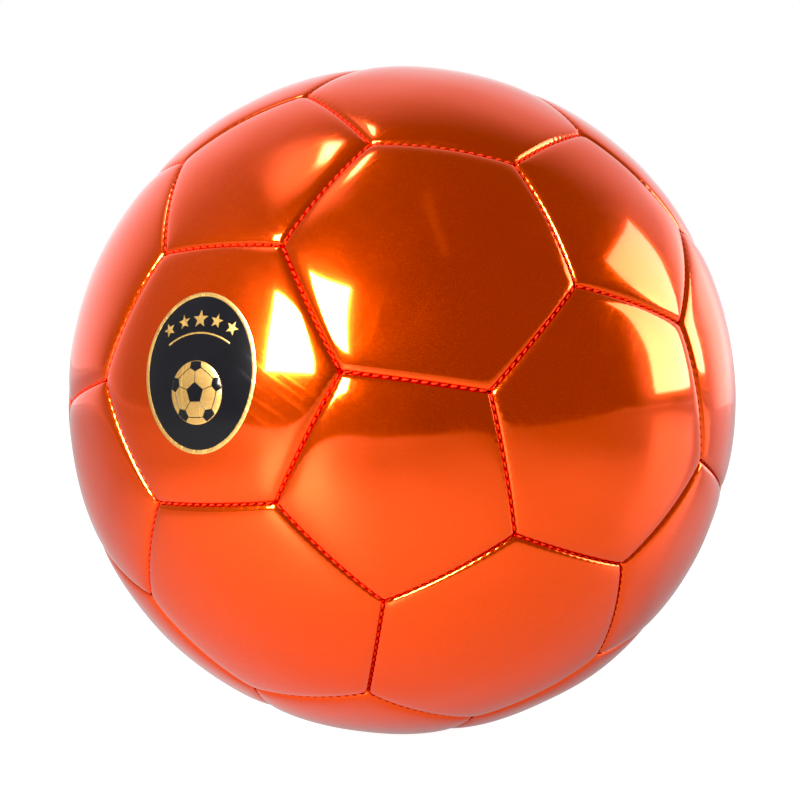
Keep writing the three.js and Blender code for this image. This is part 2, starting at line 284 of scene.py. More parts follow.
class Shape:
    """Collects points, in millimetres, and faces with a material each, for one mesh piece."""

    def __init__(self):
        self.points = []
        self.faces = []
        self.finishes = []
        self.count = 0

    def add_points(self, points):
        """Adds points and gives back their numbers."""
        self.points.append(np.asarray(points, float).reshape(-1, 3))
        first = self.count
        self.count += len(self.points[-1])
        return np.arange(first, self.count)

    def add_faces(self, faces, finish=0):
        """Adds faces, each a list of point numbers."""
        faces = np.asarray(faces, int).tolist()
        self.faces += faces
        self.finishes += [finish] * len(faces)

    def bridge(self, upper, lower, finish=0):
        """Faces between two rings. One may have several points for each of the other's."""
        if len(upper) == len(lower):
            corners = [upper, lower, np.roll(lower, -1), np.roll(upper, -1)]
            self.add_faces(np.stack(corners, axis=1), finish)
            return
        widens = len(lower) > len(upper)
        many, few = (lower, upper) if widens else (upper, lower)
        each = len(many) // len(few)
        few_next = np.roll(few, -1)
        triangles = [(few, few_next, np.roll(many, -math.ceil(each / 2))[::each])]
        for step in range(each):
            apex = few if step < each / 2 else few_next
            triangles.append((many[step::each], apex, np.roll(many, -step - 1)[::each]))
        for triangle in triangles:
            self.add_faces(np.stack(triangle[::-1] if widens else triangle, axis=1), finish)

    def loft(self, rings, finish=0):
        """Faces from each ring to the next."""
        for upper, lower in zip(rings, rings[1:]):
            self.bridge(upper, lower, finish)

    def cap(self, ring, tip, finish=0, upwards=True):
        """Faces from a ring to one point."""
        following = np.roll(ring, -1)
        tips = np.full(len(ring), tip)
        turn = [tips, ring, following] if upwards else [tips, following, ring]
        self.add_faces(np.stack(turn, axis=1), finish)

    def piece(self, name, materials, sharp=math.radians(50)):
        """The mesh piece, riding on the ball."""
        mesh = bpy.data.meshes.new(name)
        mesh.from_pydata(np.concatenate(self.points) * MM, [], self.faces)
        for material in materials:
            mesh.materials.append(material)
        mesh.polygons.foreach_set("material_index", self.finishes)
        mesh.polygons.foreach_set("use_smooth", [True] * len(self.faces))
        mesh.set_sharp_from_angle(angle=sharp)
        mesh.validate()
        made = new_object(name, mesh)
        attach(made, "root")
        return made


def new_object(name, data):
    """An object in the scene."""
    made = bpy.data.objects.new(name, data)
    bpy.context.scene.collection.objects.link(made)
    return made


def panel_shape(panel, hole_radius=0.0):
    """A panel's closed skin: the film over its crown and down its rim, and the cloth behind."""
    c = panel.cover
    edge = c.seam_gap / 2
    fine, coarse = 84, 28  # points on each side, close to the seam and away from it
    shape = Shape()

    def film(directions):
        return shape.add_points(directions * panel.heights(directions)[:, None])

    def inner(inset, radius):
        return shape.add_points(panel.outline(inset, coarse) * radius)

    fine_width = 2.4  # of the band along the seam that has the fine rings
    shoulder = panel.outline(fine_width, coarse)
    tilt = np.arccos(shoulder @ panel.middle)
    hole = hole_radius / BALL_RADIUS
    heading = unit(shoulder - panel.middle * (shoulder @ panel.middle)[:, None])

    def around_middle(angle):
        """A ring at an angle from the panel's middle: one for all its points, or one for each."""
        angle = np.broadcast_to(angle, len(tilt))[:, None]
        return panel.middle * np.cos(angle) + heading * np.sin(angle)

    # shares of the way from the middle, or from the hole in it, to the shoulder
    shares = [0.09, 0.17, 0.26, 0.36, 0.46, 0.56, 0.65, 0.73, 0.795, 0.85, 0.895, 0.935, 0.97]
    rings = [film(around_middle(hole + (tilt - hole) * share)) for share in shares]
    rings.append(film(shoulder))
    near_seam = [1.85, 1.4, 1.05, 0.78, 0.56, 0.39, 0.26, 0.16, edge]  # in from the seam
    rings += [film(panel.outline(inset, fine)) for inset in near_seam]

    under = BALL_RADIUS - c.thickness
    if hole_radius:
        lip = around_middle(hole)
        tops = panel.heights(lip)
        bend = [(0.0, 0.35), (0.1, 0.12), (0.35, 0.0)]  # in from the hole's wall, and down
        lips = []
        for aside, down in bend:
            ring = around_middle(hole + aside / BALL_RADIUS)
            lips.append(shape.add_points(ring * (tops - down)[:, None]))
        hole_wall = shape.add_points(lip * under)
        rings = [hole_wall, *lips, *rings]
    else:
        shape.cap(rings[0], film(panel.middle[None])[0])

    rolled_in = 106.0  # from the ball's centre to where the rolled edge becomes the folded rim
    folded = edge + c.fold_width
    rim = [inner(edge, rolled_in), inner(edge, c.fold_radius), inner(folded, c.fold_radius)]
    back = [inner(inset, under) for inset in (folded, 10.0, 20.0)]  # rings of the cloth
    shape.loft(rings + rim[:2])
    shape.loft(rim[1:] + back, 1)
    if hole_radius:
        shape.bridge(back[-1], hole_wall, 1)
    else:
        shape.cap(back[-1], shape.add_points(panel.middle[None] * under)[0], 1, upwards=False)
    return shape


def stitch_shape(panels, cover):
    """Every stitch of every seam: a short length of thread whose ends go down between the rims."""
    proud = 0.1  # of the film under a stitch's sides
    radius = BALL_RADIUS - fall_at(cover, cover.stitch_width / 2) + proud
    seams = {}
    for panel in panels:
        for mid, along, wall in zip(panel.mids, panel.along, panel.walls):
            seams.setdefault(tuple(mid.round(4) + 0.0), (mid, along, wall))

    stations, around = 7, 8  # points along the thread and round it
    ends = np.linspace(-0.94, 0.94, stations)
    turn = np.linspace(0, 2 * math.pi, around, endpoint=False)
    girth = np.sqrt(1 - ends**4)
    x = np.repeat(ends * cover.stitch_length / 2, around)
    y = (girth[:, None] * np.cos(turn) * cover.stitch_width / 2).ravel()
    z = (girth[:, None] * np.sin(turn) * cover.stitch_height / 2).ravel()
    z = z - cover.stitch_dive * np.repeat(ends**2, around)
    tip = cover.stitch_length / 2
    x, y = np.append(x, [-tip, tip]), np.append(y, [0, 0])
    z = np.append(z, [-cover.stitch_dive] * 2)
    skew = math.radians(7)  # a stitch crosses its seam at a slight slant
    x, y = x * math.cos(skew) - y * math.sin(skew), x * math.sin(skew) + y * math.cos(skew)
    ply = np.stack([np.repeat(ends, around), np.tile(turn, stations)], axis=1)
    ply = np.vstack([ply, [[-1, 0], [1, 0]]])

    shape = Shape()
    plies = []
    for mid, along, wall in seams.values():
        for k in range(-cover.stitches, cover.stitches + 1):
            angle = k * cover.stitch_pitch / BALL_RADIUS
            outward = mid * math.cos(angle) + along * math.sin(angle)
            forward = along * math.cos(angle) - mid * math.sin(angle)
            points = np.outer(radius + z, outward) + np.outer(x, forward) + np.outer(y, wall)
            numbers = shape.add_points(points)
            rings = numbers[:-2].reshape(stations, around)
            shape.loft(rings[::-1])
            shape.cap(rings[0], numbers[-2], upwards=False)
            shape.cap(rings[-1], numbers[-1])
            plies.append(ply)
    return shape, np.concatenate(plies)


class Badge:
    """The badge's own axes on its panel, taken from the badge node of the frame."""

    def __init__(self, panels):
        points = node_points("badge")
        middle = node_direction("badge")
        self.panel = max(panels, key=lambda panel: panel.middle @ middle)
        self.middle = self.panel.middle
        flat = points - np.outer(points @ self.middle, self.middle)
        _, axes = np.linalg.eigh(flat.T @ flat)
        up = axes[:, -1]  # the longest way across the badge
        self.up = up * np.sign(up[2])
        self.right = np.cross(self.up, self.middle)
        self.half_width = np.abs(flat @ self.right).max()
        self.half_height = np.abs(flat @ self.up).max()

    def place(self, x, y, lift):
        """Points of the ball's film at x to the right and y up, lifted off it."""
        x, y, lift = np.broadcast_arrays(x, y, lift)
        across = np.outer(x.ravel(), self.right) + np.outer(y.ravel(), self.up)
        directions = unit(self.middle * BALL_RADIUS + across)
        return directions * (self.panel.heights(directions) + lift.ravel())[:, None]

    def disc(self, shape, half_width, half_height, centre, lift, base):
        """A closed oval plate. lift gives its height at each share of its radius."""
        turn = np.linspace(0, 2 * math.pi, 96, endpoint=False)
        shares = np.sin(np.linspace(0.12, 1.0, 14) * math.pi / 2)

        def ring(share, height):
            x = share * half_width * np.cos(turn)
            y = centre + share * half_height * np.sin(turn)
            return shape.add_points(self.place(x, y, height))

        upper = [ring(share, lift(share)) for share in shares]
        shape.cap(upper[0], shape.add_points(self.place(0.0, centre, lift(0.0)))[0])
        rings = upper + [ring(1.0, base), ring(0.5, base)]
        shape.loft(rings)
        tip = shape.add_points(self.place(0.0, centre, base))[0]
        shape.cap(rings[-1], tip, upwards=False)

    def ribbon(self, shape, x, y, width, lift, base, closed=False):
        """A closed strip along a line, rounded across its top."""
        line = np.stack([x, y], axis=1)
        ahead = np.roll(line, -1, axis=0) - np.roll(line, 1, axis=0)
        if not closed:
            ahead[0] = line[1] - line[0]
            ahead[-1] = line[-1] - line[-2]
        side = unit(np.stack([ahead[:, 1], -ahead[:, 0]], axis=1)) * width / 2
        top = [(-1.0, 0.55), (-0.6, 0.92), (0.0, 1.0), (0.6, 0.92), (1.0, 0.55)]
        rows = []
        for across, share in [(-1.0, 0.0), *top, (1.0, 0.0)]:
            at = line + side * across
            height = base + (lift - base) * share
            rows.append(shape.add_points(self.place(at[:, 0], at[:, 1], height)))
        rows.append(rows[0])
        for one, other in zip(rows, rows[1:]):
            quads = np.stack([one, other, np.roll(other, -1), np.roll(one, -1)], axis=1)
            shape.add_faces(quads if closed else quads[:-1])
        if not closed:
            loop = rows[:-1]
            shape.add_faces([[row[0] for row in reversed(loop)]])
            shape.add_faces([[row[-1] for row in loop]])

    def plate(self, shape, x, y, lift, base):
        """A closed plate over an outline that can be seen whole from its middle."""
        upper = shape.add_points(self.place(x, y, lift))
        lower = shape.add_points(self.place(x, y, base))
        middle_x, middle_y = np.mean(x), np.mean(y)
        shape.cap(upper, shape.add_points(self.place(middle_x, middle_y, np.max(lift)))[0])
        shape.bridge(upper, lower)
        tip = shape.add_points(self.place(middle_x, middle_y, base))[0]
        shape.cap(lower, tip, upwards=False)


def lathe(shape, mouth, axis, section):
    """A closed solid turned about an axis. A section's points are (distance from it, depth)."""
    first, second = tangents(axis)
    turn = np.linspace(0, 2 * math.pi, 96, endpoint=False)
    round_about = np.outer(np.cos(turn), first) + np.outer(np.sin(turn), second)
    rings = []
    for from_axis, depth in section:
        at = mouth - axis * depth
        rings.append(shape.add_points(at if from_axis == 0 else at + round_about * from_axis))
    pairs = list(zip(rings, rings[1:]))
    if len(rings[0]) > 1:
        pairs.append((rings[-1], rings[0]))
    for one, other in pairs:
        if len(one) == 1:
            shape.cap(other, one[0])
        elif len(other) == 1:
            shape.cap(one, other[0], upwards=False)
        else:
            shape.bridge(one, other)


# ---- node groups


def node(tree, kind, inputs=None, **settings):
    """A node with its settings. inputs maps socket names or numbers to values or links."""
    made = tree.nodes.new(kind)
    made.location = (len(tree.nodes) % 8 * 220, -(len(tree.nodes) // 8) * 260)
    for name, value in settings.items():
        setattr(made, name, value)
    for name, value in (inputs or {}).items():
        if isinstance(value, bpy.types.NodeSocket):
            tree.links.new(value, made.inputs[name])
        else:
            made.inputs[name].default_value = value
    return made


def calc(tree, operation, *values, clamp=False):
    """The result of a Math node on numbers or links."""
    settings = {"operation": operation, "use_clamp": clamp}
    return node(tree, "ShaderNodeMath", dict(enumerate(values)), **settings).outputs[0]


def vector_math(tree, operation, *values, output="Vector", **scale):
    """The result of a Vector Math node on vectors or links."""
    inputs = {**dict(enumerate(values)), **scale}
    return node(tree, "ShaderNodeVectorMath", inputs, operation=operation).outputs[output]


def mix(tree, share, one, other, kind="FLOAT"):
    """One value at share 0, and the other at share 1."""
    inputs = {"Factor": share, "A": one, "B": other}
    return node(tree, "ShaderNodeMix", inputs, data_type=kind).outputs["Result"]


def ramp(tree, value, low, high, to_low=0.0, to_high=1.0):
    """The value, taken smoothly from to_low at low to to_high at high."""
    sockets = ("Value", "From Min", "From Max", "To Min", "To Max")
    inputs = dict(zip(sockets, (value, low, high, to_low, to_high)))
    made = node(tree, "ShaderNodeMapRange", inputs, interpolation_type="SMOOTHSTEP")
    return made.outputs["Result"]


def noise(tree, vector, scale, detail=2.0):
    """A noise texture's value."""
    inputs = {"Vector": vector, "Scale": scale, "Detail": detail}
    return node(tree, "ShaderNodeTexNoise", inputs).outputs["Fac"]


def new_group(name, inputs, outputs):
    """An empty node group. inputs maps names to defaults, and outputs lists names."""
    group = bpy.data.node_groups.new(name, "ShaderNodeTree")
    kinds = {"Vector": "NodeSocketVector", "Color": "NodeSocketColor"}
    for way, labels in (("INPUT", ("Vector", *inputs)), ("OUTPUT", outputs)):
        for label in labels:
            kind = kinds.get(label, "NodeSocketFloat")
            socket = group.interface.new_socket(label, in_out=way, socket_type=kind)
            if way == "INPUT" and label in inputs:
                socket.default_value = inputs[label]
    return group, node(group, "NodeGroupInput").outputs


def end_group(group, results):
    """Links a group's results to its outputs."""
    node(group, "NodeGroupOutput", results)
    return group


def tone_group():
    """A colour that drifts a little in brightness over the surface."""
    defaults = {"Color": (0.8, 0.8, 0.8, 1.0), "Scale": 30.0, "Amount": 0.1}
    group, given = new_group("Tone", defaults, ["Color"])
    drift = noise(group, given["Vector"], given["Scale"], 3.0)
    spread = calc(group, "MULTIPLY", calc(group, "SUBTRACT", drift, 0.5), given["Amount"])
    bright = calc(group, "MULTIPLY_ADD", spread, 2.0, 1.0)
    scaled = vector_math(group, "SCALE", given["Color"], Scale=bright)
    return end_group(group, {"Color": scaled})


def scuffs_group():
    """Wiping marks: fine curved streaks in patches, and a haze of tiny scratches all over."""
    defaults = {"Smooth": 0.1, "Haze": 0.2, "Haze Share": 0.3, "Streaks": 1.0}
    group, given = new_group("Scuffs", defaults, ["Roughness", "Height"])
    vector = given["Vector"]
    swirl = node(group, "ShaderNodeTexNoise", {"Vector": vector, "Scale": 14.0, "Detail": 1.0})
    bent = vector_math(group, "SCALE", swirl.outputs["Color"], Scale=0.03)
    bent = vector_math(group, "ADD", vector, bent)
    marks, relief = None, None
    for turn, fineness in ((0.7, 700.0), (2.1, 520.0), (3.6, 900.0)):
        inputs = {"Vector": bent, "Rotation": (turn, turn, 0.4)}
        turned = node(group, "ShaderNodeVectorRotate", inputs, rotation_type="EULER_XYZ")
        stretch = (fineness, fineness * 0.05, fineness * 0.05)  # drawn out along two of three axes
        streak = noise(group, vector_math(group, "MULTIPLY", turned.outputs[0], stretch), 1.0)
        shifted = vector_math(group, "ADD", vector, (turn, 0, 0))
        patch = ramp(group, noise(group, shifted, 24.0), 0.47, 0.62)
        drawn = calc(group, "MULTIPLY", ramp(group, streak, 0.5, 0.7), patch)
        raised = calc(group, "MULTIPLY", streak, patch)
        marks = drawn if marks is None else calc(group, "MAXIMUM", marks, drawn)
        relief = raised if relief is None else calc(group, "ADD", relief, raised)
    wiped = ramp(group, noise(group, vector, 26.0, 3.0), 0.35, 0.7, 0.0, 0.06)
    speckle = calc(group, "ADD", noise(group, vector, 9000.0), wiped)
    speckle = calc(group, "MULTIPLY_ADD", given["Haze Share"], 0.12, speckle)
    share = ramp(group, speckle, 0.66, 0.7)
    lines = calc(group, "MULTIPLY", marks, given["Streaks"])
    mask = calc(group, "ADD", share, lines, clamp=True)
    rough = calc(group, "MULTIPLY_ADD", mask, given["Haze"], given["Smooth"])
    height = calc(group, "MULTIPLY", relief, given["Streaks"])
    return end_group(group, {"Roughness": rough, "Height": height})


def grain_group():
    """The fine pebbled skin of moulded rubber, with a dusting of powder in places."""
    defaults = {"Scale": 900.0, "Dust": 0.2}
    group, given = new_group("Grain", defaults, ["Height", "Dust", "Roughness"])
    pebbles = noise(group, given["Vector"], given["Scale"], 3.0)
    cloud = ramp(group, noise(group, given["Vector"], 60.0, 4.0), 0.45, 0.75)
    dust = calc(group, "MULTIPLY", cloud, given["Dust"])
    rough = calc(group, "MULTIPLY_ADD", pebbles, 0.2, 0.42)
    return end_group(group, {"Height": pebbles, "Dust": dust, "Roughness": rough})


def weave_group():
    """Plain weave: threads over and under one another in two directions, with painted shade in its
    dips.
    """
    group, given = new_group("Weave", {"Threads": 1400.0}, ["Height", "Tint"])
    parts = node(group, "ShaderNodeSeparateXYZ", {0: given["Vector"]}).outputs
    waves = []
    for one, other in (parts[:2], parts[1:]):
        sides = [calc(group, way, one, other) for way in ("ADD", "SUBTRACT")]
        turns = [calc(group, "MULTIPLY", side, given["Threads"]) for side in sides]
        waves.append(calc(group, "MULTIPLY", *(calc(group, "SINE", turn) for turn in turns)))
    cloth = calc(group, "MULTIPLY_ADD", calc(group, "ADD", *waves), 0.25, 0.5)
    # painted shade: the colour is darker where the threads dip under and lighter where they ride
    # over
    painted_weave_shade = calc(group, "MULTIPLY_ADD", cloth, 0.35, 0.75)
    return end_group(group, {"Height": cloth, "Tint": painted_weave_shade})


BUILDERS = {"Tone": tone_group, "Scuffs": scuffs_group, "Grain": grain_group, "Weave": weave_group}


def use(tree, name, inputs):
    """A node group's outputs in a material. It is built the first time that it is asked for."""
    group = bpy.data.node_groups.get(name) or BUILDERS[name]()
    return node(tree, "ShaderNodeGroup", inputs, node_tree=group).outputs


# ---- materials


def opaque(rgb):
    """A colour with full alpha."""
    return (*rgb, 1.0)


def begin_material(name, fixed):
    """A material with one Principled shader, whose fixed values are set on its own sockets."""
    material = bpy.data.materials.new(name)
    material.use_nodes = True
    tree = material.node_tree
    shader = tree.nodes["Principled BSDF"]
    for socket, value in fixed.items():
        shader.inputs[socket].default_value = value
    where = node(tree, "ShaderNodeTexCoord").outputs["Object"]
    return material, tree, shader, where


def feed(shader, socket, value):
    """Links a value to one of the shader's sockets."""
    shader.id_data.links.new(value, shader.inputs[socket])


def bump(tree, shader, height, distance):
    """Feeds a height, of that many metres at 1, to the shader's normal."""
    made = node(tree, "ShaderNodeBump", {"Height": height, "Distance": distance})
    feed(shader, "Normal", made.outputs["Normal"])


def tinted(tree, shader, where, rgb, scale, drift):
    """Feeds a drifting colour to the shader's base colour."""
    inputs = {"Vector": where, "Color": opaque(rgb), "Scale": scale, "Amount": drift}
    feed(shader, "Base Color", use(tree, "Tone", inputs)["Color"])


def scuffed(tree, shader, where, smooth, haze, share, streaks, depth):
    """Feeds wiping marks to the shader's roughness and normal."""
    inputs = {"Vector": where, "Smooth": smooth, "Haze": haze, "Haze Share": share}
    scuffs = use(tree, "Scuffs", {**inputs, "Streaks": streaks})
    feed(shader, "Roughness", scuffs["Roughness"])
    bump(tree, shader, scuffs["Height"], depth)


def film_material(colours):
    """Mirror-like metallic film under a clear coat, with fine wiping marks."""
    fixed = {
        "Metallic": 1.0,
        "Specular Tint": opaque(colours.film_edge),
        "Coat Weight": 0.5,
        "Coat Roughness": 0.05,
        "Coat IOR": 1.5,
    }
    material, tree, shader, where = begin_material("Metallic film", fixed)
    tinted(tree, shader, where, colours.film, 22.0, 0.05)
    scuffed(tree, shader, where, 0.1, 0.2, 0.3, 0.35, 0.00003)
    return material


def thread_material(colours):
    """Waxed two-ply thread. Its twist runs along the ply attribute of the stitches."""
    material, tree, shader, where = begin_material("Thread", {"Specular IOR Level": 0.02})
    tinted(tree, shader, where, colours.thread, 400.0, 0.35)
    ply = node(tree, "ShaderNodeAttribute", attribute_name="ply").outputs["Vector"]
    parts = node(tree, "ShaderNodeSeparateXYZ", {0: ply}).outputs
    round_about = calc(tree, "MULTIPLY", parts[1], 2.0)
    twist = calc(tree, "SINE", calc(tree, "MULTIPLY_ADD", parts[0], 9.0, round_about))
    fibres = noise(tree, where, 9000.0)
    height = calc(tree, "MULTIPLY_ADD", fibres, 0.3, calc(tree, "MULTIPLY_ADD", twist, 0.5, 0.5))
    feed(shader, "Roughness", ramp(tree, twist, -1.0, 1.0, 0.75, 0.5))
    bump(tree, shader, height, 0.00006)
    return material


def cloth_material(colours):
    """Off-white woven cloth, with painted shade in the dips of its weave."""
    material, tree, shader, where = begin_material("Backing cloth", {"Sheen Weight": 0.25})
    weave = use(tree, "Weave", {"Vector": where, "Threads": 3600.0})
    # the weave's painted shade scales the cloth's colour
    woven = vector_math(tree, "SCALE", tuple(colours.cloth), Scale=weave["Tint"])
    feed(shader, "Base Color", woven)
    feed(shader, "Roughness", ramp(tree, weave["Height"], 0.0, 1.0, 0.95, 0.8))
    bump(tree, shader, weave["Height"], 0.0001)
    return material


def rubber_material(name, rgb, scale, dust, depth):
    """Moulded rubber with a fine grain and powder on it."""
    material, tree, shader, where = begin_material(name, {"Specular IOR Level": 0.45})
    grain = use(tree, "Grain", {"Vector": where, "Scale": scale, "Dust": dust})
    powder = (0.3, 0.29, 0.27, 1.0)
    dusted = mix(tree, grain["Dust"], opaque(rgb), powder, "RGBA")
    feed(shader, "Base Color", dusted)
    feed(shader, "Roughness", grain["Roughness"])
    bump(tree, shader, grain["Height"], depth)
    return material


def print_material(name, rgb, metallic, smooth, haze, share, drift):
    """Printed film of the badge: black ground or gold."""
    fixed = {"Metallic": metallic, "Specular IOR Level": 0.3}
    material, tree, shader, where = begin_material(name, fixed)
    tinted(tree, shader, where, rgb, 90.0, drift)
    scuffed(tree, shader, where, smooth, haze, share, 0.5, 0.000008)
    return material


def material_named(name):
    """A material, made the first time that it is asked for."""
    made = bpy.data.materials.get(name)
    if made:
        return made
    colours = bpy.context.scene.ball_colours
    makers = {
        "Metallic film": film_material,
        "Thread": thread_material,
        "Backing cloth": cloth_material,
    }
    rubbers = {
        "Butyl": (colours.butyl, 700.0, 0.35, 0.00005),
        "Valve rubber": (colours.rubber, 2200.0, 0.08, 0.00003),
    }
    prints = {
        "Badge field": (colours.field, 0.0, 0.14, 0.12, -1.5, 0.3),
        "Badge gold": (colours.gold, 1.0, 0.24, 0.3, 0.3, 0.25),
    }
    if name in rubbers:
        return rubber_material(name, *rubbers[name])
    if name in prints:
        return print_material(name, *prints[name])
    return makers[name](colours)


# ---- operators


class BALL_OT_panels(bpy.types.Operator):
    """Make the 32 panels, crowned, with edges that roll into the seams"""

    bl_idname = "ball.panels"
    bl_label = "Panels"

    def execute(self, context):
        scene = context.scene
        finishes = [material_named("Metallic film"), material_named("Backing cloth")]
        for panel in make_panels(scene.ball_cover):
            hole = scene.ball_valve.hole_radius if panel.name == "valve_panel" else 0.0
            made = panel_shape(panel, hole).piece("film_" + panel.name, finishes, math.radians(60))
            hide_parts(panel.name)
        return {"FINISHED"}


class BALL_OT_stitching(bpy.types.Operator):
    """Sew the seams with short stitches of red thread"""

    bl_idname = "ball.stitching"
    bl_label = "Stitching"

    def execute(self, context):
        cover = context.scene.ball_cover
        shape, ply = stitch_shape(make_panels(cover), cover)
        made = shape.piece("stitches", [material_named("Thread")])
        attribute = made.data.attributes.new("ply", "FLOAT_VECTOR", "POINT")
        attribute.data.foreach_set("vector", np.column_stack([ply, np.zeros(len(ply))]).ravel())
        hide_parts("seam_thread")
        return {"FINISHED"}


class BALL_OT_badge(bpy.types.Operator):
    """Make the oval badge: black ground, gold rim, gold ball and five stars"""

    bl_idname = "ball.badge"
    bl_label = "Badge"

    def execute(self, context):
        sizes = context.scene.ball_badge
        badge = Badge(make_panels(context.scene.ball_cover))
        black, gold = material_named("Badge field"), material_named("Badge gold")
        film, sunk = sizes.film, sizes.film - 0.02  # gilding stands 0.02 mm into the film below it
        wide, high = badge.half_width, badge.half_height

        field = Shape()
        badge.disc(field, wide, high, 0.0, lambda share: film, -0.05)
        made = field.piece("badge_field", [black])
        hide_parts("badge")

        rim = Shape()
        turn = np.linspace(0, 2 * math.pi, 180, endpoint=False)
        inset = sizes.rim_width / 2
        x, y = (wide - inset) * np.cos(turn), (high - inset) * np.sin(turn)
        badge.ribbon(rim, x, y, sizes.rim_width, film + sizes.rim_height, sunk, closed=True)
        rim.piece("badge_rim", [gold])

        ball = Shape()
        radius, dome, centre = sizes.ball_radius, sizes.ball_dome, sizes.ball_centre

        def ball_top(share):
            return film + 0.12 + dome * math.sqrt(max(0.0, 1 - share**2))

        badge.disc(ball, radius, radius, centre, ball_top, sunk)
        ball.piece("badge_ball", [gold])

        self.ball_lines(badge, sizes, ball_top, black)
        self.stars(badge, sizes, film + 0.08, sunk, gold)
        return {"FINISHED"}

    def ball_lines(self, badge, sizes, ball_top, black):
        """The dark pentagons of the gold ball, and the seams between them."""
        radius, centre = sizes.ball_radius, sizes.ball_centre
        shape = Shape()

        def on_ball(polar, angle):
            x, y = radius * polar * np.sin(angle), centre + radius * polar * np.cos(angle)
            tops = np.array([ball_top(share) for share in np.atleast_1d(polar)])
            return x, y, tops + 0.05

        fifths = np.arange(5) * 2 * math.pi / 5
        middle, start, fork = 0.34, 0.66, 0.28  # middle and outer pentagons, and half their width
        x, y, lift = on_ball(np.full(5, middle), -fifths)  # against the clock, as rings run
        badge.plate(shape, x, y, lift, 0.0)
        for angle in fifths:
            x, y, lift = on_ball(np.linspace(middle, start, 5), np.full(5, angle))
            badge.ribbon(shape, x, y, sizes.line_width, lift, 0.0)
            polar = np.array([start, 0.8, 0.985, 0.985, 0.985, 0.8])
            across = np.array([0.0, fork, 0.2, 0.0, -0.2, -fork])
            x, y, lift = on_ball(polar, angle - across)
            badge.plate(shape, x, y, lift, 0.0)
            between = np.linspace(fork, 2 * math.pi / 5 - fork, 4)
            x, y, lift = on_ball(np.array([0.8, 0.77, 0.77, 0.8]), angle + between)
            badge.ribbon(shape, x, y, sizes.line_width, lift, 0.0)
        shape.piece("badge_ball_lines", [black])

    def stars(self, badge, sizes, lift, base, gold):
        """Five stars in an arch over the ball, and a thin line under them."""
        shape = Shape()
        arch, arch_drop = 25.0, 8.5  # the stars' arch: its radius, and how far its top is down
        arch_centre = badge.half_height - arch_drop - arch
        spacing = 0.245  # from star to star, as an angle on the arch
        waist, tallest = 0.42, 1.25  # of a star's inner points, and of the middle star
        points = np.arange(10)  # of a star, out and in by turns
        for step in range(-2, 3):
            tilt = step * spacing
            size = sizes.star_radius * (tallest if step == 0 else 1.0)
            turn = -points * math.pi / 5 + tilt
            reach = np.where(points % 2 == 0, size, size * waist)
            x = arch * math.sin(tilt) + reach * np.sin(turn)
            y = arch_centre + arch * math.cos(tilt) + reach * np.cos(turn)
            badge.plate(shape, x, y, lift, base)
        turn = np.linspace(-0.58, 0.58, 40)
        under = arch - 4.2  # radius of the line
        x, y = under * np.sin(turn), arch_centre + under * np.cos(turn)
        badge.ribbon(shape, x, y, sizes.line_width, lift, base)
        shape.piece("badge_stars", [gold])


class BALL_OT_valve(bpy.types.Operator):
    """Make the valve's housing and core, and finish the bladder and what is bonded to it"""

    bl_idname = "ball.valve"
    bl_label = "Valve and bladder"

    def execute(self, context):
        v = context.scene.ball_valve
        mount = next(m for m in frame["record"]["mounts"] if m["name"] == "valve_mouth")
        axis = unit(mount["axis"])
        mouth = axis * (np.array(mount["pos_m"]) @ axis) / MM
        rubber = material_named("Valve rubber")

        housing = Shape()
        neck, bore, barrel, flange = v.neck_radius, v.bore_radius, v.barrel_radius, v.flange_radius
        over, under = v.flange_depth, v.flange_depth + v.flange_thickness
        foot, floor = v.length, v.length - 2.0  # its end, and the end of its bore
        channel = 1.2  # radius of the hole between them
        lip, bevel = 0.35, 0.5  # rounding of the mouth, and of the other edges
        quarter = np.linspace(0, math.pi / 2, 6)
        sines, cosines = lip * np.sin(quarter), lip * np.cos(quarter)
        section = [
            (channel, foot), (barrel - bevel, foot), (barrel, foot - bevel), (barrel, under + 0.6),
            (barrel + 0.6, under), (flange - 0.3, under + 0.6), (flange, under + 0.4),
            (flange, over + 0.7), (flange - bevel, over + 0.5), (neck + bevel, over),
            (neck, over - bevel), *zip(neck - lip + cosines, lip - sines),
            *zip(bore + lip - sines, lip - cosines), (bore, floor), (channel, floor),
        ]
        lathe(housing, mouth, axis, section[::-1])
        made = housing.piece("valve_housing_rubber", [rubber])
        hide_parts("valve_housing")

        core = Shape()
        needle, depth, side = v.needle_radius, v.needle_depth, v.core_radius
        top, bottom = 0.3, v.length - 2.3
        rim = 0.25
        section = [
            (0.0, depth + top), (needle, depth + top), (needle, top + 1.1),
            (needle + 0.25, top + 0.7), (needle + 0.8, top + 0.12), (needle + 1.0, top),
            (side - rim, top), (side - 0.07, top + 0.07), (side, top + rim),
            (side, bottom - 0.4), (side - 0.4, bottom), (0.0, bottom),
        ]
        lathe(core, mouth, axis, section)
        made = core.piece("valve_core_rubber", [rubber])
        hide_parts("valve_core")

        kept = {"bladder": "Butyl", "valve_patch": "Butyl", "valve_hole_backing": "Backing cloth"}
        for name, finish in kept.items():
            materials = frame["nodes"][name].data.materials
            materials.clear()
            materials.append(material_named(finish))
        return {"FINISHED"}


